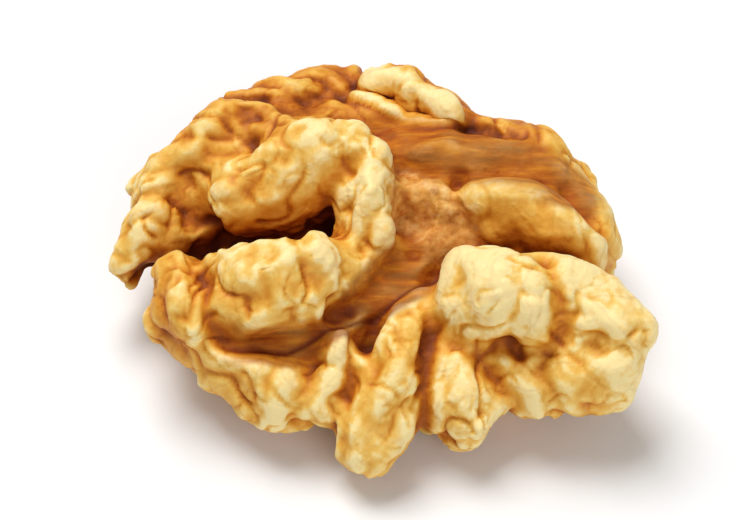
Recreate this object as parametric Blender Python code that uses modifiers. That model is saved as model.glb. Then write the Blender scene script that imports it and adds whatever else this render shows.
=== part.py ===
"""Half of a shelled walnut kernel, lying on its rounded back with the split side up.

The half is one grown piece. Its folds are modelled as fat strings of overlapping balls laid
over a flat oval core, fused into one skin, crumpled by noise and then thinned out. It is
modelled with the split plane level, and turned at the end to the slight lean it rests in.
"""

import math

import bmesh
import bpy
from mathutils import Matrix, Vector, noise

MM = 0.001

# Driving dimensions in millimetres and degrees
CORE_SIZE = (31.0, 22.5, 6.0)
CORE_CENTRE = (0.0, 1.0, -4.4)
BACK_LENGTH = 34.6
BACK_DEPTH = 5.6
BACK_DROP = 0.6
BACK_MIDDLE = 2.7
BACK_FIRST_TURN = 10.0
BACK_LAST_TURN = 76.0
BACK_SWAY = 0.8
LEAN = 10.0
FOOT_CUT = 0.7

# Crumpling: how far it goes and how large its features are, in millimetres
BEND = (0.9, 5.5)
SMALL_BEND = (0.4, 2.6)
WINDING = (1.5, 5.2)
WINDING_WARP = (0.4, 3.5)
CREASE_SHARE = 0.3
SPLIT_SIDE_SHARE = 0.22
LUMP = (0.22, 1.9)
SEED = 5

# Fineness of the skin
BEAD_STEP = 0.35
VOXEL = 0.42
TRIANGLES = 11400

# Folds of the split side, in millimetres. Each has how many times its own thickness it reaches
# down, and its crest as points (along, across, height above the split plane, radius).
SPLIT_SIDE_FOLDS = {
    "left_tip": (2.0, [
        (-17.2, 1.5, -0.4, 1.5), (-16.7, 3.3, 0.3, 1.8), (-15.4, 4.6, 0.3, 1.8)]),
    "left_arc": (1.8, [
        (-15.2, 6.3, 0.8, 2.0), (-13.1, 8.1, 1.4, 2.4), (-10.8, 9.5, 1.8, 2.5), (-8.0, 10.1, 2.2, 2.1)]),
    "hook": (1.6, [
        (-9.9, 4.6, 2.4, 1.9), (-8.3, 5.5, 2.9, 2.6), (-6.0, 6.0, 3.3, 3.0), (-3.7, 6.8, 3.5, 2.9),
        (-1.8, 7.0, 3.5, 2.7), (-1.0, 4.9, 3.3, 2.5), (-0.9, 2.7, 3.0, 2.3), (-0.4, 1.2, 2.4, 1.8)]),
    "lower_left": (1.8, [
        (-13.7, -0.9, 1.4, 1.9), (-13.2, -3.2, 1.4, 2.2), (-12.3, -5.0, 0.9, 1.8)]),
    "lower_middle": (1.5, [
        (-9.9, -1.2, 2.0, 2.2), (-8.0, -2.1, 2.6, 3.1), (-6.0, -2.1, 2.5, 3.0), (-3.7, -1.3, 2.4, 2.4),
        (-1.7, -0.8, 2.0, 1.9)]),
    "lower_front": (1.6, [
        (-9.8, -3.4, 1.6, 2.0), (-7.6, -4.3, 1.7, 2.3), (-5.4, -3.9, 1.8, 2.2)]),
    "outer_left_band": (1.5, [
        (-12.2, -6.2, -0.6, 1.1), (-9.3, -6.5, -0.5, 1.2), (-6.2, -6.1, -0.5, 1.1)]),
    "outer_left": (1.2, [
        (-10.8, -6.9, -0.9, 1.5), (-8.6, -8.0, -1.0, 2.2), (-6.4, -8.7, -1.1, 2.3),
        (-4.2, -8.9, -1.3, 2.0)]),
    "outer_left_ridge": (1.3, [
        (-2.7, -5.9, 0.6, 1.1), (-2.5, -7.6, 0.2, 1.5), (-3.3, -9.2, -0.9, 1.8)]),
    "finger": (1.0, [
        (2.8, -3.0, 0.6, 1.2), (1.9, -5.7, 0.6, 1.8), (0.8, -8.1, -0.3, 2.4), (0.1, -10.2, -1.4, 2.8),
        (-0.7, -12.0, -2.4, 2.5)]),
    "small_tip": (1.2, [
        (4.7, -7.3, -0.3, 1.9), (4.9, -9.0, -0.9, 2.2), (5.4, -10.2, -1.8, 2.1)]),
    "right_rim": (1.3, [
        (7.6, -8.6, -1.2, 1.6), (9.6, -8.3, -0.8, 1.8), (11.6, -8.1, -0.4, 2.0)]),
    "pale_bulge": (1.5, [
        (6.1, -2.8, 2.6, 2.4), (7.8, -3.7, 3.3, 3.1), (10.2, -3.8, 3.2, 2.9)]),
    "pale_skirt": (1.0, [
        (6.6, -7.0, -0.9, 2.1), (9.2, -7.8, -0.8, 2.2), (11.4, -7.4, -0.3, 2.2), (12.8, -6.4, 0.6, 2.2)]),
    "pale_wrap": (1.4, [
        (12.0, -3.5, 2.9, 2.6), (14.2, -4.3, 2.5, 2.6), (15.9, -5.8, 1.8, 2.4), (15.2, -7.5, 0.8, 2.4),
        (12.9, -8.2, 0.1, 2.1)]),
    "ridge": (1.6, [
        (7.0, 4.3, 1.5, 1.8), (9.3, 3.2, 2.1, 2.2), (11.9, 2.1, 1.9, 2.0), (14.4, 0.9, 1.1, 1.5)]),
    "stalk_end": (1.5, [
        (2.2, 4.6, 1.0, 2.0), (4.5, 4.2, 1.0, 1.9)]),
    "slope": (1.5, [
        (0.9, 8.3, 0.5, 2.6), (4.5, 8.0, 0.7, 2.9), (8.0, 7.2, 0.6, 2.8), (11.1, 6.0, 0.2, 2.4)]),
    "rear_band": (1.0, [
        (-7.4, 10.9, 0.2, 2.2), (-4.0, 11.2, 0.3, 2.5), (-0.6, 11.2, 0.2, 2.3), (2.0, 11.0, -0.2, 2.0)]),
    "rear_left": (1.5, [
        (-10.1, 12.5, 0.2, 1.8), (-7.5, 13.5, 0.3, 2.1), (-5.0, 14.5, -0.1, 2.2), (-2.4, 14.8, -0.2, 2.0)]),
    "rear_flake": (1.5, [
        (-1.1, 13.6, 0.6, 1.3), (1.3, 14.5, 1.0, 1.7), (3.4, 13.0, 1.1, 1.7), (5.4, 11.3, 1.1, 1.6)]),
    "rear_right": (1.5, [
        (7.5, 10.7, 0.4, 1.9), (10.1, 9.4, 0.3, 2.1), (12.2, 7.2, 0.0, 2.0), (13.9, 4.7, -0.2, 1.9),
        (15.4, 2.6, -1.0, 1.8)]),
}

# Low pads that close the bottom of the valleys between those folds, as points of the same kind
VALLEY_PADS = {
    "left": [(-14.8, 3.2, -1.8, 2.2), (-12.6, 6.0, -1.2, 2.5), (-10.6, 7.2, -1.0, 2.6)],
    "arc": [(-12.0, 6.2, 0.2, 2.2), (-9.8, 7.6, 1.4, 2.4), (-7.2, 8.4, 2.2, 2.3), (-4.6, 9.0, 2.0, 2.2)],
    "front": [(-11.6, -4.4, -1.8, 2.4), (-7.5, -5.2, -1.4, 2.5), (-5.0, -6.2, -1.4, 2.3),
              (-3.0, -4.6, -1.4, 2.4)],
    "seam": [(6.0, 1.4, -1.4, 2.6), (3.4, 1.6, -1.1, 2.7), (0.9, -1.2, -1.1, 2.7), (-3.0, -4.6, -1.4, 2.4)],
    "right": [(9.3, 1.0, -2.6, 2.6), (14.0, 0.9, -2.8, 2.2)],
    "pale": [(4.5, -4.9, -0.7, 2.2), (8.0, -6.5, -2.8, 2.7), (11.5, -6.0, -2.2, 2.8)],
    "rear": [(-10.5, 9.5, -2.6, 2.7), (-4.0, 11.0, -2.8, 3.0), (3.0, 10.6, -2.8, 3.0),
             (10.0, 7.2, -2.6, 2.8)],
}

# Folds of the rounded back: the distance from the middle line to the rim, then for each fold
# where it leaves the middle line, where it reaches the rim, and its radius
BACK_FOLDS = {
    "front": (-11.6, [
        (-12.5, -15.0, 1.9), (-8.0, -10.5, 2.2), (-3.5, -5.0, 2.3), (1.0, 0.5, 2.4), (5.5, 6.0, 2.2),
        (9.5, 11.0, 2.2), (13.0, 14.8, 1.8)]),
    "rear": (9.0, [
        (-13.0, -15.0, 1.8), (-9.5, -11.5, 2.1), (-5.0, -6.5, 2.4), (-0.5, -1.0, 2.2), (3.5, 4.5, 2.3),
        (8.0, 9.5, 2.2), (11.8, 12.8, 1.8)]),
}


def along_curve(points, count):
    """Evenly stepped points of a smooth curve that passes through all of the given ones."""
    ends = [points[0]] + list(points) + [points[-1]]
    found = []
    for i in range(count + 1):
        t = i / count * (len(points) - 1)
        k = min(int(t), len(points) - 2)
        t -= k
        a, b, c, d = (ends[k + j] for j in range(4))
        found.append(tuple(
            q + 0.5 * t * (r - p + t * (2 * p - 5 * q + 4 * r - s + t * (3 * q - p - 3 * r + s)))
            for p, q, r, s in zip(a, b, c, d)
        ))
    return found


def string_of_balls(whole, points, reach=1.0):
    """Adds balls so close together that they read as one fold, reach times as deep as it is wide."""
    length = sum((Vector(b[:3]) - Vector(a[:3])).length for a, b in zip(points, points[1:]))
    thinnest = min(point[3] for point in points)
    count = max(2, math.ceil(length / (BEAD_STEP * thinnest)))
    fold = bmesh.new()
    for x, y, z, radius in along_curve(points, count):
        place = Matrix.Translation(Vector((x, y, z - (reach - 1) * radius)) * MM)
        deepen = Matrix.Diagonal((1, 1, reach, 1))
        bmesh.ops.create_icosphere(fold, subdivisions=2, radius=radius * MM, matrix=place @ deepen)
    mesh = bpy.data.meshes.new("fold")
    fold.to_mesh(mesh)
    fold.free()
    whole.from_mesh(mesh)
    bpy.data.meshes.remove(mesh)


def back_fold(middle, rim, radius, reach, phase):
    """Points of one fold of the back, from the middle line round the curve of the back to the rim."""
    points = []
    steps = 6
    for step in range(steps + 1):
        share = step / steps
        turn = math.radians(BACK_FIRST_TURN + (BACK_LAST_TURN - BACK_FIRST_TURN) * share)
        x = middle + (rim - middle) * share + BACK_SWAY * math.sin(phase + 2.2 * turn)
        narrowing = math.sqrt(max(0.05, 1 - (2 * x / BACK_LENGTH) ** 2))
        y = BACK_MIDDLE + reach * narrowing * math.sin(turn)
        z = -BACK_DEPTH * narrowing * math.cos(turn) - BACK_DROP
        points.append((x, y, z, radius * (1 + 0.12 * math.sin(phase + 5 * turn))))
    return points


def core(whole):
    """Adds the flat oval core that the folds lie on."""
    size = Matrix.Diagonal([0.5 * MM * side for side in CORE_SIZE] + [1])
    place = Matrix.Translation(Vector(CORE_CENTRE) * MM)
    bmesh.ops.create_uvsphere(whole, u_segments=64, v_segments=32, radius=1, matrix=place @ size)


def packed_folds():
    """One mesh with the core and every fold as separate overlapping balls."""
    whole = bmesh.new()
    core(whole)
    for reach, points in SPLIT_SIDE_FOLDS.values():
        string_of_balls(whole, points, reach)
    for points in VALLEY_PADS.values():
        string_of_balls(whole, points)
    for reach, folds in BACK_FOLDS.values():
        for number, (middle, rim, radius) in enumerate(folds):
            phase = 1.7 * number + math.copysign(1, reach)
            string_of_balls(whole, back_fold(middle, rim, radius, reach, phase))
    mesh = bpy.data.meshes.new("folds")
    whole.to_mesh(mesh)
    whole.free()
    return mesh


def with_modifier(mesh, kind, **settings):
    """The mesh as a modifier of that kind leaves it."""
    obj = bpy.data.objects.new("work", mesh)
    bpy.context.scene.collection.objects.link(obj)
    modifier = obj.modifiers.new(kind.title(), kind)
    for name, value in settings.items():
        setattr(modifier, name, value)
    bpy.context.view_layer.update()
    made = bpy.data.meshes.new_from_object(obj.evaluated_get(bpy.context.evaluated_depsgraph_get()))
    bpy.data.objects.remove(obj)
    return made


def linked_shell(start, left):
    """All the vertices that edges connect to start, taken out of left."""
    shell = []
    front = [start]
    left.discard(start)
    while front:
        vertex = front.pop()
        shell.append(vertex)
        near = [edge.other_vert(vertex) for edge in vertex.link_edges]
        near = [other for other in near if other in left]
        left.difference_update(near)
        front.extend(near)
    return shell


def outer_skin(mesh):
    """Takes away the closed bubbles that the folds leave between them."""
    bm = bmesh.new()
    bm.from_mesh(mesh)
    left = set(bm.verts)
    shells = []
    for vertex in bm.verts:
        if vertex in left:
            shells.append(linked_shell(vertex, left))
    shells.sort(key=len)
    print("vertices of the bubbles", [len(shell) for shell in shells[:-1]])
    for shell in shells[:-1]:
        bmesh.ops.delete(bm, geom=shell, context="VERTS")
    bm.to_mesh(mesh)
    bm.free()


def noise_shift(p, strength_and_size):
    """A smoothly varying shift of a point in millimetres."""
    strength, size = strength_and_size
    return strength * noise.noise_vector(p / size)


def winding_dent(p, normal):
    """How deep the surface sinks beside the rounded windings, full on the back and slight on top."""
    depth, size = WINDING
    warp, warp_size = WINDING_WARP
    from_crease = abs(noise.noise(p / size + warp * noise.noise_vector(p / warp_size))) / CREASE_SHARE
    dent = 1 - math.sqrt(1 - (1 - min(1.0, from_crease)) ** 2)
    below_rim = min(1.0, max(0.0, -0.5 * (p.z + 1.0)))
    on_back = min(1.0, 0.5 - 1.1 * normal.z + 0.5 * below_rim)
    return depth * dent * max(SPLIT_SIDE_SHARE, on_back)


def crumple(mesh):
    """Bends the folds irregularly, parts the back into windings and roughens it all with low lumps."""
    noise.seed_set(SEED)
    lump, lump_size = LUMP
    normals = [vertex.normal.copy() for vertex in mesh.vertices]
    for vertex, normal in zip(mesh.vertices, normals):
        p = vertex.co / MM
        bend = noise_shift(p, BEND) + noise_shift(p + Vector((18, 8, 13)), SMALL_BEND)
        rise = lump * noise.noise(p / lump_size + Vector((2, 9, 4))) - winding_dent(p, normal)
        vertex.co = (p + bend + rise * normal) * MM


def flat_foot(mesh):
    """Cuts the lowest bumps off level, so that the half stands on them."""
    bm = bmesh.new()
    bm.from_mesh(mesh)
    level = Vector((0, 0, min(vertex.co.z for vertex in bm.verts) + FOOT_CUT * MM))
    everything = bm.verts[:] + bm.edges[:] + bm.faces[:]
    cut = bmesh.ops.bisect_plane(
        bm, geom=everything, dist=1e-7, plane_co=level, plane_no=(0, 0, 1), clear_inner=True
    )
    rims = [item for item in cut["geom_cut"] if isinstance(item, bmesh.types.BMEdge)]
    bmesh.ops.triangle_fill(bm, edges=rims, use_beauty=True, normal=(0, 0, -1))
    bmesh.ops.triangulate(bm, faces=bm.faces)
    bmesh.ops.recalc_face_normals(bm, faces=bm.faces)
    bm.to_mesh(mesh)
    bm.free()


def resting(mesh):
    """Leans the mesh, flattens its foot and puts it with the middle of its footprint on the origin."""
    mesh.transform(Matrix.Rotation(math.radians(LEAN), 4, "X"))
    flat_foot(mesh)
    low, high = (Vector([pick(v.co[i] for v in mesh.vertices) for i in range(3)]) for pick in (min, max))
    centre = (low + high) / 2
    mesh.transform(Matrix.Translation((-centre.x, -centre.y, -low.z)))
    print("size in mm", [round(side / MM, 1) for side in high - low])


def walnut_skin():
    """The golden tan skin of the kernel."""
    skin = bpy.data.materials.new("kernel skin")
    skin.use_nodes = True
    shader = skin.node_tree.nodes["Principled BSDF"]
    shader.inputs["Base Color"].default_value = (0.68, 0.41, 0.13, 1)
    shader.inputs["Roughness"].default_value = 0.5
    return skin


def walnut_half():
    """The mesh of the whole half, resting on the ground."""
    mesh = with_modifier(packed_folds(), "REMESH", mode="VOXEL", voxel_size=VOXEL * MM)
    outer_skin(mesh)
    mesh = with_modifier(mesh, "SMOOTH", factor=0.5, iterations=3)
    crumple(mesh)
    mesh = with_modifier(mesh, "SMOOTH", factor=0.5, iterations=1)
    thinning = TRIANGLES / (2 * len(mesh.polygons))
    mesh = with_modifier(mesh, "DECIMATE", ratio=thinning, use_collapse_triangulate=True)
    resting(mesh)
    mesh.materials.append(walnut_skin())
    mesh.name = "walnut_half"
    return mesh


def main():
    for obj in list(bpy.data.objects):
        bpy.data.objects.remove(obj)
    collection = bpy.data.collections.new("Walnut kernel")
    bpy.context.scene.collection.children.link(collection)
    collection.objects.link(bpy.data.objects.new("walnut_half", walnut_half()))


main()
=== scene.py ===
# %% [markdown]
# # A shelled walnut half
# This lesson dresses one piece, the half kernel of a walnut, lying on its rounded back, split side up.
# The plain solid is loaded as a fixed frame. A finer copy of it takes the small relief of a real
# kernel, and then the colours of its papery skin, pale on the crests and reddish brown in the folds.

import math

import bmesh
import bpy
import numpy as np
from mathutils import Matrix, Vector, noise
from mathutils.bvhtree import BVHTree


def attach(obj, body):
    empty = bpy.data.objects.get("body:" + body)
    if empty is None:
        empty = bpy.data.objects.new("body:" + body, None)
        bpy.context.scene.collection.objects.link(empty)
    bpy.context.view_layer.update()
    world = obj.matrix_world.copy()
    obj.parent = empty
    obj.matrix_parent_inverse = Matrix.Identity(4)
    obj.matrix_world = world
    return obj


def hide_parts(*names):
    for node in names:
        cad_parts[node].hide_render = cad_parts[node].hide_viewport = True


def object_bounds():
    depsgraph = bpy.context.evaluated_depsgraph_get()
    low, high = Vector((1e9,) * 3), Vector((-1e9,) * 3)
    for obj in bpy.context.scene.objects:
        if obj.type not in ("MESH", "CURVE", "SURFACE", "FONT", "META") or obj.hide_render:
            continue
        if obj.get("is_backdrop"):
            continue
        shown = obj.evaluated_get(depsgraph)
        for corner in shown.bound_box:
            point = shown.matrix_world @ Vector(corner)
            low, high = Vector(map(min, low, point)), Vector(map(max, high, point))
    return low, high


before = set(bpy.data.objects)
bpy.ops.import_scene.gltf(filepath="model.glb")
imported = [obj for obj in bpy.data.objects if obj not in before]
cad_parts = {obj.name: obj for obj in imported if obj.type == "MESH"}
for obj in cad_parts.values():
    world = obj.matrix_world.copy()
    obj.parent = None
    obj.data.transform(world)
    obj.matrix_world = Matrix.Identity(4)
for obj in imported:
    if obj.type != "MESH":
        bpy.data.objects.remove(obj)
cad_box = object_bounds()
MM = 0.001
SEED = 5
noise.seed_set(SEED)
print("solid from", [round(v / MM, 1) for v in cad_box[0]], "to", [round(v / MM, 1) for v in cad_box[1]])

# %% [markdown]
# ## A place on the kernel
# Every fold is easiest to point at in the kernel's own level frame: x along the half, y across it and
# z up from the split plane, in millimetres. The half rests with a lean of ten degrees, so one matrix
# takes such a place to the scene, and its inverse brings the scene's vertices back. A fold is then a
# short path of places, and a vertex gets the more of a fold's colour or relief the nearer it lies.

# %% The level frame
LEAN = math.radians(10.0)
REST_SHIFT = (0.326, -1.671, 7.448)
TO_SCENE = (Matrix.Diagonal((MM, MM, MM, 1)) @ Matrix.Translation(REST_SHIFT)
            @ Matrix.Rotation(LEAN, 4, "X"))
TO_LEVEL = np.array(TO_SCENE.inverted())


def level(points):
    """Scene points as places in the kernel's own level frame, in millimetres."""
    return points @ TO_LEVEL[:3, :3].T + TO_LEVEL[:3, 3]


print("the split plane's middle lies", round(TO_SCENE.translation.z / MM, 2), "mm above the floor")


# %% Near a path
def along_path(places, path):
    """For each place, seen from above: how far from the path it lies, how far along, on which side."""
    nearest = np.full(len(places), np.inf)
    reached = np.zeros(len(places))
    side = np.zeros(len(places))
    start = 0.0
    for a, b in zip(path, path[1:]):
        a, b = np.array(a), np.array(b)
        length = np.linalg.norm(b - a)
        forward = (b - a) / length
        from_a = places[:, :2] - a
        share = np.clip(from_a @ forward / length, 0, 1)
        distance = np.linalg.norm(from_a - (share * length)[:, None] * forward, axis=1)
        closer = distance < nearest
        nearest = np.where(closer, distance, nearest)
        reached = np.where(closer, start + from_a @ forward, reached)
        side = np.where(closer, from_a @ np.array([-forward[1], forward[0]]), side)
        start += length
    return nearest, reached, side


# %% Bands with soft edges
UPPER_SIDE = (-3.0, -1.5)


def eased(values, low, high):
    """0 below low, 1 above high and a smooth step between them."""
    t = np.clip((values - low) / (high - low), 0, 1)
    return t * t * (3 - 2 * t)


def band(places, path, half_width, softness=0.8, top=99.0):
    """1 on the upper side within half_width of the path, fading out over softness and above top."""
    near = 1 - eased(along_path(places, path)[0], half_width, half_width + softness)
    return near * eased(places[:, 2], *UPPER_SIDE) * (1 - eased(places[:, 2], top, top + 1.0))


# %% [markdown]
# ## A finer skin
# The solid's facets are about a millimetre across, too coarse for a nut seen from a hand's breadth.
# Catmull-Clark subdivision rounds them off without moving the folds. A voxel remesh then makes the
# skin an even net, so that every later move of its vertices has the same reach everywhere.

# %% Modifiers in a row
def with_modifiers(mesh, *steps):
    """The mesh as a row of modifiers leaves it, each given as a kind and its settings."""
    obj = bpy.data.objects.new("work", mesh)
    bpy.context.scene.collection.objects.link(obj)
    for kind, settings in steps:
        modifier = obj.modifiers.new(kind.title(), kind)
        for name, value in settings.items():
            setattr(modifier, name, value)
    bpy.context.view_layer.update()
    made = bpy.data.meshes.new_from_object(obj.evaluated_get(bpy.context.evaluated_depsgraph_get()))
    bpy.data.objects.remove(obj)
    return made


# %% Round the facets and remesh
SKIN_VOXEL = 0.206

merged = bmesh.new()
merged.from_mesh(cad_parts["walnut_half"].data)
bmesh.ops.remove_doubles(merged, verts=merged.verts, dist=1e-6)
coarse = bpy.data.meshes.new("coarse_skin")
merged.to_mesh(coarse)
merged.free()
skin = with_modifiers(
    coarse,
    ("SUBSURF", {"levels": 2, "render_levels": 2}),
    ("REMESH", {"mode": "VOXEL", "voxel_size": SKIN_VOXEL * MM}),
    ("SMOOTH", {"factor": 0.5, "iterations": 9}),
)
print("skin of", len(skin.vertices), "vertices and", len(skin.polygons), "faces")


# %% [markdown]
# ## Reading and moving the skin
# The vertices' positions go into one array, so that a whole step of sculpting is a line of sums.
# Averaging each vertex with its neighbours many times gives a blurred skin. The difference from it
# says where the skin bulges and where it sinks. Adding some of that difference back makes the folds
# rounder and the creases between them tighter, as sharpening does to a picture.

# %% Arrays from the mesh and back
def positions(mesh):
    """The places of the vertices, one row each."""
    found = np.empty(3 * len(mesh.vertices), np.float32)
    mesh.vertices.foreach_get("co", found)
    return found.reshape(-1, 3).astype(float)


def normals(mesh):
    """The directions that the vertices face, one row each."""
    found = np.empty(3 * len(mesh.vertices), np.float32)
    mesh.vertex_normals.foreach_get("vector", found)
    return found.reshape(-1, 3).astype(float)


def put_back(mesh, points):
    """Moves the vertices to those places."""
    mesh.vertices.foreach_set("co", points.astype(np.float32).ravel())
    mesh.update()


# %% Blur over the net of edges
OWN_SHARE = 0.4
net = np.empty(2 * len(skin.edges), np.int32)
skin.edges.foreach_get("vertices", net)
net = net.reshape(-1, 2)
neighbours = np.bincount(net.ravel(), minlength=len(skin.vertices))


def blurred(values, times):
    """Values of the vertices after averaging each with its neighbours that many times."""
    flat = values.reshape(len(values), -1)
    for _ in range(times):
        total = np.empty_like(flat)
        for i in range(flat.shape[1]):
            total[:, i] = np.bincount(net[:, 0], flat[net[:, 1], i], len(flat))
            total[:, i] += np.bincount(net[:, 1], flat[net[:, 0], i], len(flat))
        flat = OWN_SHARE * flat + (1 - OWN_SHARE) * total / neighbours[:, None]
    return flat.reshape(values.shape)


# %% Sharpen the folds
SHARPENING = 0.75
SHARPENING_ROUNDS = 40
points = positions(skin)
bulge = points - blurred(points, SHARPENING_ROUNDS)
points += SHARPENING * bulge
put_back(skin, points)
print("sharpened by up to", round(SHARPENING * np.abs(bulge).max() / MM, 2), "mm")

# %% [markdown]
# ## The smooth parts
# Where the shell's inner walls lay against the kernel its skin is smooth brown paper: on the slope
# behind the stalk end, and along the seam between the front lobes, where a fine dark crease runs. A
# long low ridge is smooth too, but keeps the colour of the lobes. These parts are named first, because
# they keep out most of the wrinkles that come next.

# %% Paper, ridge, stalk end and crease
SEAM = [(-10.9, -6.4), (-9.0, -6.6), (-6.2, -6.6), (-3.8, -5.6), (-2.0, -4.9), (-0.3, -4.0),
        (1.2, -2.9), (4.4, -0.6)]
SEAM_WEB = [(-0.9, -3.2), (1.5, -1.2), (3.4, 0.6), (5.2, 1.0)]
SLOPE = [(0.6, 8.4), (5.0, 7.6), (9.0, 6.4), (12.4, 5.0)]
RIDGE = [(6.6, 4.4), (9.3, 3.2), (11.9, 2.1), (15.0, 0.6)]
STALK_END = [(1.4, 4.6), (3.4, 3.6), (4.6, 2.0)]
SEAM_END_SHADE = [(-4.6, -5.2), (-3.2, -4.3), (-1.6, -3.8)]
SEAM_CREASE_WIDTH = 0.20


def named_parts(places):
    """How much each vertex belongs to paper, ridge, stalk end and seam crease with its painted shade."""
    distance, run, _ = along_path(places, SEAM)
    begun = eased(run, -0.5, 3.0)
    paper = np.maximum.reduce([
        begun * band(places, SEAM, 0.9, 0.7, top=2.2),
        band(places, SEAM_WEB, 1.5, 0.8, top=2.4),
        band(places, SLOPE, 2.0, 1.1, top=4.0),
    ])
    seam_crease_and_shade = begun * np.exp(-((distance / SEAM_CREASE_WIDTH) ** 2))
    # The seam's lower end is darkened too: painted shade in the crevice there.
    seam_crease_and_shade = np.maximum(seam_crease_and_shade, 0.8 * band(places, SEAM_END_SHADE, 0.15, 1.0, top=0.6))
    seam_crease_and_shade *= eased(places[:, 2], *UPPER_SIDE) * (1 - eased(places[:, 2], 2.0, 3.0))
    return paper, band(places, RIDGE, 1.5), band(places, STALK_END, 1.4, 0.9, top=3.8), seam_crease_and_shade


places = level(points)
paper, ridge, stalk, seam_crease_and_shade = named_parts(places)
print("share of paper", round(paper.mean(), 3), "of ridge", round(ridge.mean(), 3))


# %% [markdown]
# ## Small relief
# The rest of the skin dried and shrank over soft meat, so it is wrinkled at several sizes. Broad soft
# dents come first. Creases part them, and come and go: a crease runs where a noise passes through
# zero, which draws long wandering lines. A noise that is first bent by another looks less even.

# %% Noise and creases
def noise_of(places, size, shift=0.0, stretch=(1, 1, 1)):
    """Noise with features of that size in millimetres, from -1 to 1, drawn out along the axes."""
    scaled = places / (size * np.array(stretch)) + shift
    return np.array([noise.noise(Vector(place)) for place in scaled])


def creases(places, size, shift, width):
    """Narrow lines that wander about that far apart, 1 in a line and 0 beside it."""
    return np.exp(-((noise_of(places, size, shift) / width) ** 2))


BEND = 0.6
BEND_SIZE = 2.4
bends = [noise_of(places, BEND_SIZE, shift) for shift in (11.0, 23.0, 37.0)]
warped = places + BEND * np.stack(bends, axis=1)
print("noise bent by up to", round(BEND * np.abs(bends).max(), 2), "mm")

# %% Dents and wandering creases
# Height and size in millimetres, and the place in the noise
SWELLING = (0.26, 2.8, 5.0)
DENTS = [(0.08, 1.3, 6.0), (0.025, 0.7, 71.0)]
# Depth, spacing, place in the noise and width, then size, place and edges of the patches that have them
CREASES = [
    (0.26, 2.9, 3.0, 0.09, 2.6, 61.0, -0.20, 0.20),
    (0.15, 1.6, 8.0, 0.11, 2.2, 67.0, -0.10, 0.30),
    (0.07, 1.05, 73.0, 0.10, 1.8, 79.0, -0.05, 0.30),
]
height, size, shift = SWELLING
relief = height * noise_of(places, size, shift)
for height, size, shift in DENTS:
    relief += height * noise_of(warped, size, shift)
for depth, size, shift, width, patch, patch_shift, low, high in CREASES:
    patches = eased(noise_of(places, patch, patch_shift), low, high)
    relief -= depth * creases(warped, size, shift, width) * patches
print("dents and creases from", round(relief.min(), 2), "to", round(relief.max(), 2), "mm")

# %% [markdown]
# ## Folds that have a direction
# On the curved bands of the kernel the folds cross the band as ribs. On the front lobes they run
# outwards like the fingers of a fan. So each set of folds follows the path of its own lobe, turned by
# an angle against it, and a little noise bends them.

# %% The folded lobes
# Path, reach to either side, spacing and height in millimetres, and turn: 0 is across, 90 along
FOLDED_LOBES = {
    "left_arc": ([(-16.6, 2.6), (-15.6, 5.4), (-13.1, 8.1), (-10.4, 9.7), (-7.4, 10.6)],
                 2.2, 1.9, 0.16, 35),
    "rear_band": ([(-10.5, 12.3), (-5.0, 14.0), (-0.5, 14.2)], 2.0, 2.0, 0.20, 50),
    "hook_back": ([(-9.6, 5.0), (-6.0, 6.6), (-2.4, 8.0)], 2.0, 2.6, 0.11, 60),
    "hook_strip": ([(-2.4, 8.2), (-1.0, 6.0), (-0.9, 3.0), (-0.3, 0.8)], 1.9, 2.0, 0.11, 40),
    "left_lobe": ([(-13.6, -1.0), (-13.1, -5.4)], 1.6, 1.9, 0.12, 70),
    "middle_lobe": ([(-10.4, -1.6), (-6.0, -2.4), (-2.2, -1.4)], 2.4, 2.8, 0.14, 15),
    "fan": ([(-3.4, -5.6), (-4.6, -8.6), (-6.6, -12.0)], 3.2, 2.3, 0.16, 90),
    "finger": ([(2.6, -3.4), (1.2, -7.4), (-0.5, -13.0)], 2.2, 2.2, 0.10, 80),
    "small_tip": ([(4.7, -7.0), (5.4, -11.0)], 1.8, 1.9, 0.12, 75),
    "pale_lobe": ([(6.0, -3.0), (10.0, -3.8), (15.6, -5.4)], 2.8, 3.4, 0.09, 10),
    "front_rim": ([(8.0, -8.9), (13.4, -8.2)], 2.0, 2.1, 0.15, 30),
}
FINE_SHARE = 0.22
FINER_BY = 2.4
FINE_TURN = 18


def rounded_folds(run, side, spacing, turn, bend):
    """Rounded folds from -1 to 1, with sharp creases between them, turned from the path."""
    turn = math.radians(turn)
    phase = math.pi * (run * math.cos(turn) + side * math.sin(turn)) / spacing + bend
    return 2 * (np.abs(np.sin(phase)) - 2 / math.pi)


def folds_with_direction(places, path, reach, spacing, height, turn):
    """Folds along or across the path of a lobe, with finer wrinkles slightly turned against them."""
    distance, run, side = along_path(places, path)
    bend = 1.1 * noise_of(places, 2.4, 41.0) + 0.5 * noise_of(places, 1.1, 43.0)
    wide = rounded_folds(run, side, spacing, turn, bend)
    fine = rounded_folds(run, side, spacing / FINER_BY, turn + FINE_TURN, 2 * bend)
    fine *= FINE_SHARE * eased(noise_of(places, 2.0, 49.0), -0.2, 0.3)
    fading = (1 - eased(distance, reach - 0.4, reach + 0.8)) * eased(places[:, 2], -4.0, -2.0)
    return height * fading * (wide + fine) * (0.75 + 0.6 * noise_of(places, 3.0, 45.0))


for path, reach, spacing, height, turn in FOLDED_LOBES.values():
    relief += folds_with_direction(places, path, reach, spacing, height, turn)
print("folds on", len(FOLDED_LOBES), "lobes")

# %% [markdown]
# ## Grooves and a lifted flake
# Some creases have a place of their own: round the pale bulge, down the middle lobe, and beside the
# finger. A groove is a soft trench along a path. The thin flake on the rear rim is the opposite, a
# raised patch with a sharp front edge, where the skin broke when the shell came off.

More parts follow.
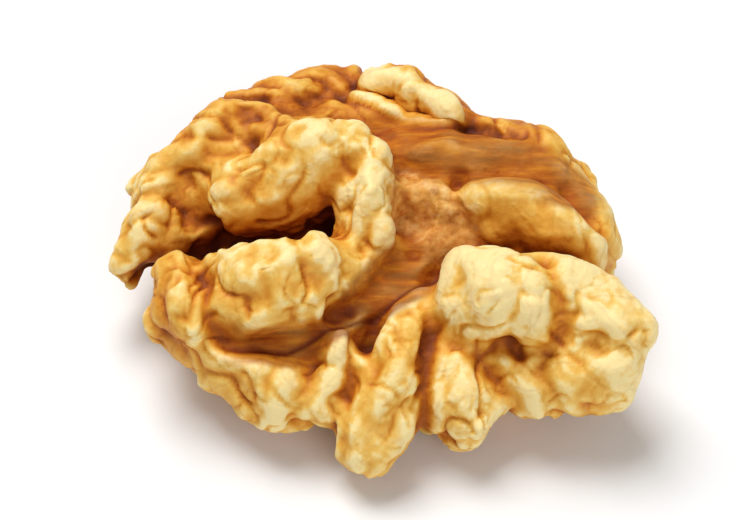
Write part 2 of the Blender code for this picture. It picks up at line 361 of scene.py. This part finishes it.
# %% Grooves and pits
# Path, half width and depth in millimetres
GROOVES = {
    "round_the_pale_bulge": ([(10.8, -2.0), (11.5, -4.4), (11.9, -6.6), (10.4, -8.2)], 0.55, 0.50),
    "in_the_pale_bulge": ([(8.6, -3.2), (8.9, -4.8), (8.5, -6.2)], 0.50, 0.26),
    "hook_end": ([(-8.4, 8.0), (-9.0, 6.4), (-9.9, 4.6)], 0.50, 0.32),
    "hook_dent": ([(-5.4, 7.4), (-6.4, 5.6)], 0.60, 0.20),
    "middle_lobe_left": ([(-8.6, -0.6), (-8.2, -3.0), (-7.4, -4.6)], 0.50, 0.24),
    "middle_lobe_right": ([(-4.6, -0.6), (-4.9, -2.6), (-3.9, -4.0)], 0.50, 0.24),
    "beside_the_finger": ([(-1.6, -5.6), (-1.8, -8.6), (-2.6, -12.0)], 0.45, 0.40),
    "beside_the_tip": ([(3.4, -5.6), (3.0, -8.6), (2.8, -12.0)], 0.45, 0.35),
    "pit_behind_the_seam": ([(2.2, 0.6), (2.3, 0.6)], 0.50, 0.40),
    "pit_in_the_stalk_end": ([(1.6, 4.1), (1.7, 4.1)], 0.45, 0.35),
    "seam_end": ([(-4.4, -5.2), (-3.2, -4.4), (-2.0, -4.0)], 0.50, 0.45),
}


def groove(places, path, width, depth):
    """A soft trench along the path, on the upper side."""
    distance = along_path(places, path)[0]
    return depth * np.exp(-((distance / width) ** 2)) * eased(places[:, 2], -3.5, -1.5)


grooved = sum(groove(places, path, width, depth) for path, width, depth in GROOVES.values())
print("grooves down to", round(grooved.max(), 2), "mm")

# %% The lifted flake
FLAKE_EDGE = [(-2.8, 12.7), (-0.6, 11.7), (2.0, 9.9), (4.4, 9.7), (6.6, 10.6)]
FLAKE_LIFT = 0.55


def flake(places):
    """1 on the thin flake that stands off the rear rim, with a sharp front edge."""
    distance, run, side = along_path(places, FLAKE_EDGE)
    inside = eased(side, -0.12, 0.22) * (1 - eased(side, 2.4, 4.2)) * (1 - eased(distance, 3.4, 4.4))
    return inside * eased(run, 0.0, 1.6) * (1 - eased(run, 9.0, 10.6)) * eased(places[:, 2], -2.0, -0.5)


print("share of flake", round(flake(places).mean(), 3))

# %% [markdown]
# ## Press the relief in
# The sum of all this is one height for each vertex. The paper and the ridge keep little of it and get
# a fine grain along the kernel instead, and the stalk end gets a rough one. Every vertex then moves
# along its normal by its height. What would pass through the floor stays on it, so the kernel keeps
# the flat spot that it rests on.

# %% Heights by part
PAPER_SMOOTHS = 0.85
RIDGE_SMOOTHS = 0.6
BACK_CREASE_DEPTH = 0.14
SEAM_CREASE_DEPTH = 0.14
FIBRE_SIZE = 0.6
FIBRE_STRETCH = (6, 1, 1)
FIBRE_HEIGHT = 0.06
FUZZ_HEIGHT = 0.18
outward = normals(skin)
on_back = eased(-outward[:, 2], 0.0, 0.6)
relief *= (1 - PAPER_SMOOTHS * paper) * (1 - RIDGE_SMOOTHS * ridge)
relief -= BACK_CREASE_DEPTH * on_back * creases(warped, 2.0, 15.0, 0.11)
relief += FIBRE_HEIGHT * np.maximum(paper, ridge) * noise_of(places, FIBRE_SIZE, 47.0, FIBRE_STRETCH)
relief += FUZZ_HEIGHT * stalk * noise_of(places, FIBRE_SIZE, 53.0)
relief += FLAKE_LIFT * flake(places) - SEAM_CREASE_DEPTH * seam_crease_and_shade - grooved

# %% Move the vertices
SOFTENING = 0.3
points += MM * relief[:, None] * outward
points = (1 - SOFTENING) * points + SOFTENING * blurred(points, 1)
points[:, 2] = np.maximum(points[:, 2], 0.0)
put_back(skin, points)
print("relief from", round(relief.min(), 2), "to", round(relief.max(), 2), "mm")

# %% [markdown]
# ## How deep in a fold
# The skin's colour follows the shape: partly its own browner tone where two folds press together, and
# partly painted light, painted shade in the folds and creases and a painted highlight on the crests.
# Two measures say how far down a vertex lies. One casts a fan of short rays and counts how many strike
# the kernel itself, which finds the deep folds. The other is the difference from a blurred skin, which
# finds the creases and the crests, small ones after a few rounds of blurring and larger ones after many.

# %% A fan of short rays
RAYS = 20
RAY_LENGTH = 5.0 * MM
RAY_START = 0.15 * MM
HIDDEN_ROUNDS = 3


def fan_of_rays(count):
    """Directions spread over a dome round +Z, denser near its top."""
    turn = math.pi * (3 - math.sqrt(5))
    fan = []
    for i in range(count):
        across = math.sqrt((i + 0.5) / count)
        fan.append((across * math.cos(turn * i), across * math.sin(turn * i), math.sqrt(1 - across ** 2)))
    return [Vector(direction) for direction in fan]


def hidden_share(points, outward, surface):
    """For each vertex the share of its rays that strike the kernel, near hits counting most."""
    fan = fan_of_rays(RAYS)
    shares = np.zeros(len(points))
    for i, (point, normal) in enumerate(zip(points, outward)):
        normal = Vector(normal)
        turned = normal.to_track_quat("Z", "Y").to_matrix()
        start = Vector(point) + RAY_START * normal
        for direction in fan:
            distance = surface.ray_cast(start, turned @ direction, RAY_LENGTH)[3]
            if distance is not None:
                shares[i] += (1 - 0.5 * distance / RAY_LENGTH) / RAYS
    return shares


outward = normals(skin)
faces = [tuple(face.vertices) for face in skin.polygons]
surface = BVHTree.FromPolygons([Vector(p) for p in points], faces)
hidden = blurred(hidden_share(points, outward, surface), HIDDEN_ROUNDS)
print("hidden share", np.percentile(hidden, (5, 50, 95)).round(2))

# %% Sunk below the blurred skin
# Sunk spots are painted darker as painted shade, raised crests lighter as a painted highlight.
# Rounds of blurring: how much that depth counts, and the depths in millimetres where it stops counting
TONE_OF_SUNK = {
    4: (0.9, -0.05, 0.08),
    12: (0.7, -0.10, 0.14),
    40: (0.36, -0.25, 0.35),
    150: (0.12, -0.8, 1.0),
}
fold = np.zeros(len(points))
smoothed = points
done = 0
for rounds, (counts, low, high) in TONE_OF_SUNK.items():
    smoothed = blurred(smoothed, rounds - done)
    done = rounds
    sunk = np.einsum("ij,ij->i", smoothed - points, outward) / MM
    fold += counts * np.clip(sunk, low, high)
    print("sunk after", rounds, "rounds", np.percentile(sunk, (5, 50, 95)).round(3), "mm")

# %% [markdown]
# ## Tones and painted shade
# Paths again say where the skin is made lighter or darker. The lobes that stand highest are nearly cream.
# The rear rim, the surfaces that face down and the left lobe are darkened as painted shade. All of it
# goes into one number, from 0 for cream to 1 for the brown of the deepest folds. That number and the
# shares of paper, stalk end and crease are kept on the mesh as attributes, which the material reads.

# %% Pale places and places of painted shade
# How pale, then the path, half width and softness in millimetres
PALE_PLACES = {
    "pale_lobe": (1.0, [(6.0, -3.0), (9.5, -4.0), (14.0, -4.6), (15.6, -6.2)], 2.6, 2.0),
    "hook_strip": (0.9, [(-4.2, 8.6), (-1.4, 7.6), (-0.8, 3.0), (-0.4, 1.2)], 1.4, 1.6),
    "small_tip": (0.7, [(5.2, -9.5), (5.6, -11.5)], 1.6, 1.2),
    "fan": (0.5, [(-3.6, -7.0), (-5.4, -10.6)], 2.2, 1.6),
    "middle_lobe": (0.4, [(-9.0, -1.6), (-5.0, -1.4)], 1.5, 1.5),
}
PALE_FLAKE = 0.3
UNSHADED_FLAKE = 0.95
LEFT_LOBE = [(-13.6, -1.0), (-13.0, -4.2)]
places = level(points)
pale = PALE_FLAKE * flake(places)
for strength, path, half_width, softness in PALE_PLACES.values():
    pale = np.maximum(pale, strength * band(places, path, half_width, softness))
# Painted shade on the left lobe, on the rear rim apart from the flake, and on the surfaces facing down.
left_lobe_painted_shade = band(places, LEFT_LOBE, 1.8, 1.6)
rear_painted_shade = eased(places[:, 1], 6.0, 11.0) * (1 - UNSHADED_FLAKE * flake(places))
downward_painted_shade = eased(-outward[:, 2], -0.15, 0.45)
print("share of pale", round(pale.mean(), 3), "of rear", round(rear_painted_shade.mean(), 3))

# %% One number for the tone
START_TONE = 0.25
OPEN_SKIN = 0.14
HIDDEN_COUNTS = 0.95
HIDDEN_POWER = 1.25
DOWNWARD_PAINTED_SHADE = 0.12
RIDGE_TAN = 0.03
REAR_PAINTED_SHADE = 0.23
LEFT_LOBE_PAINTED_SHADE = 0.12
PALE_SHARE = 0.15
paper, ridge, stalk, seam_crease_and_shade = named_parts(places)
# Painted shade: the more of its rays strike the kernel, the browner a vertex; the masks above add more.
fold += START_TONE + HIDDEN_COUNTS * np.maximum(hidden - OPEN_SKIN, 0) ** HIDDEN_POWER
fold += DOWNWARD_PAINTED_SHADE * downward_painted_shade + RIDGE_TAN * ridge + REAR_PAINTED_SHADE * rear_painted_shade + LEFT_LOBE_PAINTED_SHADE * left_lobe_painted_shade - PALE_SHARE * pale
fold = np.clip(fold, 0, 1)
print("tone", np.percentile(fold, (5, 25, 50, 75, 95)).round(2))

# %% The finished piece
CREASE_OVER_PAPER = 0.6
tones = {"fold": fold, "paper": paper * (1 - CREASE_OVER_PAPER * seam_crease_and_shade),
         "stalk": stalk, "seam_crease_and_shade": seam_crease_and_shade}
for name, values in tones.items():
    layer = skin.attributes.new(name, "FLOAT", "POINT")
    layer.data.foreach_set("value", values.astype(np.float32))
skin.shade_smooth()
kernel = bpy.data.objects.new("kernel_half", skin)
bpy.context.scene.collection.objects.link(kernel)
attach(kernel, "root")
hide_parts("walnut_half")
print("kernel_half has", sum(len(face.vertices) - 2 for face in skin.polygons), "triangles")


# %% [markdown]
# ## The skin's material
# The pellicle is a thin dry skin, a little waxy, over pale meat that lets some light in. It grew
# against the shell and dried on the kernel, so its colour is never even. The material is built up from
# a handful of small nodes, and one function adds a node with its settings and its links.

# %% Colours and nodes
def linear(code):
    """An sRGB hex colour as the linear colour that shaders use."""
    channels = [int(code[i:i + 2], 16) / 255 for i in (1, 3, 5)]
    return tuple(c / 12.92 if c <= 0.04045 else ((c + 0.055) / 1.055) ** 2.4 for c in channels) + (1,)


def add_node(tree, kind, links=(), **settings):
    """Adds a node; links gives each input a socket to read or a plain value."""
    made = tree.nodes.new(kind)
    for name, value in settings.items():
        setattr(made, name, value)
    for socket, source in dict(links).items():
        if isinstance(source, bpy.types.NodeSocket):
            tree.links.new(source, made.inputs[socket])
        else:
            made.inputs[socket].default_value = source
    return made


# %% Walnut pellicle, dried on the kernel
pellicle = bpy.data.materials.new("walnut_pellicle_dried")
pellicle.use_nodes = True
skin.materials.clear()
skin.materials.append(pellicle)
tree = pellicle.node_tree
shader = tree.nodes["Principled BSDF"]
where = add_node(tree, "ShaderNodeTexCoord").outputs["Object"]
in_mm = add_node(tree, "ShaderNodeMapping", {"Vector": where, "Scale": (1 / MM,) * 3}).outputs["Vector"]
kept = {name: add_node(tree, "ShaderNodeAttribute", attribute_name=name).outputs["Fac"] for name in tones}
print("the material reads", ", ".join(kept))


# %% Small helpers for this tree
def clouds(size, detail=3.0, vector=in_mm):
    """Soft noise from 0 to 1 with features of that size in millimetres."""
    links = {"Vector": vector, "Scale": 1 / size, "Detail": detail, "Roughness": 0.55}
    return add_node(tree, "ShaderNodeTexNoise", links).outputs["Fac"]


def calculated(operation, a, b, c=0.0):
    """One sum on plain values or sockets."""
    return add_node(tree, "ShaderNodeMath", {0: a, 1: b, 2: c}, operation=operation).outputs[0]


def mixed(share, a, b, blend="MIX"):
    """Colour a with that share of colour b over it."""
    settings = {"data_type": "RGBA", "blend_type": blend}
    return add_node(tree, "ShaderNodeMix", {0: share, 6: a, 7: b}, **settings).outputs[2]


def toned(value, stops):
    """The colour that a ramp of stops, each a position and a hex colour, gives that value."""
    ramp = add_node(tree, "ShaderNodeValToRGB", {"Fac": value})
    elements = ramp.color_ramp.elements
    elements.remove(elements[1])
    first_position, first_code = stops[0]
    elements[0].position = first_position
    elements[0].color = linear(first_code)
    for position, code in stops[1:]:
        elements.new(position).color = linear(code)
    return ramp.outputs["Color"]


# %% [markdown]
# ### Colour
# The colour is a ramp over the tone number, from cream through gold and orange to red brown, so its
# darker stops carry the painted shade of the folds and its cream the painted highlight of the crests. It
# is shifted by blotches of about three millimetres and by specks of half a millimetre, so that no two
# folds match. The paper has streaks along the kernel, because its fibres run that way, and the stalk
# end has short fuzz of a pinker brown.

# %% Colour by depth
# The darker stops carry the painted shade of the folds, the cream stop the painted highlight of crests.
SKIN_TONES = [(0.0, "#FBE3A2"), (0.12, "#F0C465"), (0.25, "#E5A942"), (0.38, "#D58A25"),
              (0.52, "#B96511"), (0.68, "#924607"), (0.84, "#702D05"), (1.0, "#561B03")]
BLOTCH_SIZE = 3.2
BLOTCH_RANGE = 0.5
SPECK_SIZE = 0.5
SPECK_RANGE = 0.22
blotches = calculated("MULTIPLY_ADD", clouds(BLOTCH_SIZE), BLOTCH_RANGE, -BLOTCH_RANGE / 2)
specks = calculated("MULTIPLY_ADD", clouds(SPECK_SIZE, 2.0), SPECK_RANGE, -SPECK_RANGE / 2)
depth = calculated("ADD", calculated("ADD", kept["fold"], blotches), specks)
colour = toned(depth, SKIN_TONES)

# %% Paper, stalk end and crease
PAPER_TONES = [(0.32, "#742A00"), (0.5, "#A34C02"), (0.68, "#CE7E10")]
STALK_TONES = [(0.3, "#B0601C"), (0.5, "#DA9642"), (0.72, "#F0C074")]
CREASE_AND_SHADE_BROWN = "#651D03"
PAPER_COVERS = 0.75
STALK_COVERS = 0.8
CREASE_COVERS = 0.9
STREAK_WIDTH = 0.7
STREAK_STRETCH = (0.15, 1.0, 1.0)
FUZZ_SIZE = 0.6
streaks = add_node(tree, "ShaderNodeMapping", {"Vector": in_mm, "Scale": STREAK_STRETCH})
paper_colour = toned(clouds(STREAK_WIDTH, vector=streaks.outputs["Vector"]), PAPER_TONES)
colour = mixed(calculated("MULTIPLY", kept["paper"], PAPER_COVERS), colour, paper_colour)
stalk_share = calculated("MULTIPLY", kept["stalk"], STALK_COVERS)
colour = mixed(stalk_share, colour, toned(clouds(FUZZ_SIZE, 4.0), STALK_TONES))
# This brown is the seam's dark crease and the painted shade at its lower end.
colour = mixed(calculated("MULTIPLY", kept["seam_crease_and_shade"], CREASE_COVERS), colour, linear(CREASE_AND_SHADE_BROWN))

# %% [markdown]
# ### Veins
# Thin veins run over the pellicle, a few millimetres apart. The borders between the cells of a Voronoi
# pattern make a net of such lines. The net is bent by a slow noise, so that its lines aren't straight,
# and it comes and goes with another.

# %% Veins
VEIN_SPACING = 4.2
VEIN_BEND = 2.2
VEIN_WIDTH = 0.045
VEIN_BROWN = "#A85C1C"
VEIN_STRENGTH = 0.22
VEIN_PATCH_SIZE = 2.6
SLOW_SCALE = 0.35
slow = add_node(tree, "ShaderNodeTexNoise", {"Vector": in_mm, "Scale": SLOW_SCALE}).outputs["Color"]
wander = add_node(tree, "ShaderNodeVectorMath", {0: slow, 1: (VEIN_BEND,) * 3}, operation="MULTIPLY")
bent = add_node(tree, "ShaderNodeVectorMath", {0: in_mm, 1: wander.outputs["Vector"]}, operation="ADD")
cells = add_node(tree, "ShaderNodeTexVoronoi", {
    "Vector": bent.outputs["Vector"], "Scale": 1 / VEIN_SPACING,
}, feature="DISTANCE_TO_EDGE")
veins = add_node(tree, "ShaderNodeMapRange", {
    "Value": cells.outputs["Distance"], "From Max": VEIN_WIDTH, "To Min": 1.0, "To Max": 0.0,
}, interpolation_type="SMOOTHSTEP").outputs["Result"]
patches = calculated("MULTIPLY", clouds(VEIN_PATCH_SIZE), VEIN_STRENGTH)
colour = mixed(calculated("MULTIPLY", veins, patches), colour, linear(VEIN_BROWN), "MULTIPLY")
tree.links.new(colour, shader.inputs["Base Color"])

# %% [markdown]
# ### Shine and light inside
# Dry pellicle is oily enough to shine softly on the crests, with an IOR close to that of wax and oil,
# 1.47. The paper and the folds are duller. Light enters the pale meat and comes out redder a
# millimetre away, which softens the crests. The grain that is too fine for the mesh is a bump: ridged
# wrinkles of about a millimetre, and soft clouds of half of that.

# %% Shine
SMOOTHEST = 0.34
ROUGHER_PATCHES = 0.26
PATCH_SIZE = 0.9
DULLER_IN_FOLDS = 0.24
patchy = calculated("MULTIPLY_ADD", clouds(PATCH_SIZE), ROUGHER_PATCHES, SMOOTHEST)
dull = calculated("MAXIMUM", kept["paper"], calculated("MAXIMUM", kept["seam_crease_and_shade"], kept["fold"]))
tree.links.new(calculated("MULTIPLY_ADD", dull, DULLER_IN_FOLDS, patchy), shader.inputs["Roughness"])
shader.inputs["IOR"].default_value = 1.47
shader.inputs["Specular IOR Level"].default_value = 0.27
shader.inputs["Subsurface Weight"].default_value = 0.12
shader.inputs["Subsurface Radius"].default_value = (1.0, 0.45, 0.15)
shader.inputs["Subsurface Scale"].default_value = 0.9 * MM

# %% Grain
WRINKLE_SIZE = 0.9
GRAIN_SIZE = 0.45
WRINKLE_WEIGHT = 0.6
GRAIN_WEIGHT = 0.35
BUMP_STRENGTH = 0.55
BUMP_DEPTH = 0.24 * MM
wrinkles = add_node(tree, "ShaderNodeTexNoise", {
    "Vector": in_mm, "Scale": 1 / WRINKLE_SIZE, "Detail": 4.0, "Roughness": 0.5, "Distortion": 0.8,
}, noise_type="RIDGED_MULTIFRACTAL").outputs["Fac"]
soft = clouds(GRAIN_SIZE)
grain = calculated("MULTIPLY_ADD", soft, GRAIN_WEIGHT, calculated("MULTIPLY", wrinkles, WRINKLE_WEIGHT))
bump = add_node(tree, "ShaderNodeBump", {
    "Height": grain, "Strength": BUMP_STRENGTH, "Distance": BUMP_DEPTH,
})
tree.links.new(bump.outputs["Normal"], shader.inputs["Normal"])
print("walnut_pellicle_dried has", len(tree.nodes), "nodes")

# %% [markdown]
# ## Floor, light and camera
# The nut lies on white paper board. A wide soft light above and behind it gives the bright crests and
# the soft shade in front, a weaker one fills from the front, and the white room does the rest. The
# camera looks down on the split side with a long lens, thirty degrees off the way that side faces.

# %% Floor
FLOOR_REACH = 1.5
board = bmesh.new()
bmesh.ops.create_grid(board, x_segments=1, y_segments=1, size=FLOOR_REACH)
floor_mesh = bpy.data.meshes.new("floor")
board.to_mesh(floor_mesh)
board.free()
floor = bpy.data.objects.new("floor", floor_mesh)
bpy.context.scene.collection.objects.link(floor)
floor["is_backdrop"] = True

# %% White paper board, pressed and matt
# Pressed pulp scatters light evenly, so the floor shows shade but no highlight.
paper_board = bpy.data.materials.new("white_paper_board_matt")
paper_board.use_nodes = True
board_shader = paper_board.node_tree.nodes["Principled BSDF"]
board_shader.inputs["Base Color"].default_value = linear("#F4F4F4")
board_shader.inputs["Roughness"].default_value = 0.7
floor_mesh.materials.append(paper_board)

# %% Lights
KERNEL_MIDDLE = (0.0, 0.0, 0.0065)
MAIN_POWER = 1.38
FILL_POWER = 0.60


def soft_light(name, place, width, power):
    """A square area light of that width in metres, turned to face the kernel."""
    lamp = bpy.data.lights.new(name, "AREA")
    lamp.size = width
    lamp.energy = power
    made = bpy.data.objects.new(name, lamp)
    made.location = place
    made.rotation_euler = (Vector(KERNEL_MIDDLE) - Vector(place)).to_track_quat("-Z", "Y").to_euler()
    bpy.context.scene.collection.objects.link(made)


soft_light("light_above_behind", (-0.08, 0.13, 0.36), 0.23, MAIN_POWER)
soft_light("light_front_fill", (0.16, -0.34, 0.24), 0.30, FILL_POWER)

# %% White room
ROOM_STRENGTH = 0.28
room = bpy.data.worlds.new("white_room")
room.use_nodes = True
room.node_tree.nodes["Background"].inputs["Color"].default_value = linear("#FFFFFF")
room.node_tree.nodes["Background"].inputs["Strength"].default_value = ROOM_STRENGTH
bpy.context.scene.world = room
bpy.context.scene.view_settings.view_transform = "Standard"

# %% Camera
CAMERA_ELEVATION = math.radians(50.0)
CAMERA_DISTANCE = 0.150
LENS = 105
look_back = Vector((0, -math.cos(CAMERA_ELEVATION), math.sin(CAMERA_ELEVATION)))
eye = bpy.data.cameras.new("camera")
eye.lens = LENS
eye.clip_start = 0.01
camera = bpy.data.objects.new("camera", eye)
camera.location = Vector(KERNEL_MIDDLE) + CAMERA_DISTANCE * look_back
camera.rotation_euler = (-look_back).to_track_quat("-Z", "Y").to_euler()
bpy.context.scene.collection.objects.link(camera)
bpy.context.scene.camera = camera

# %% Sizes
visual_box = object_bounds()
for name, box in (("solid", cad_box), ("visual", visual_box)):
    print(name, "box in mm", [[round(v / MM, 2) for v in corner] for corner in box])
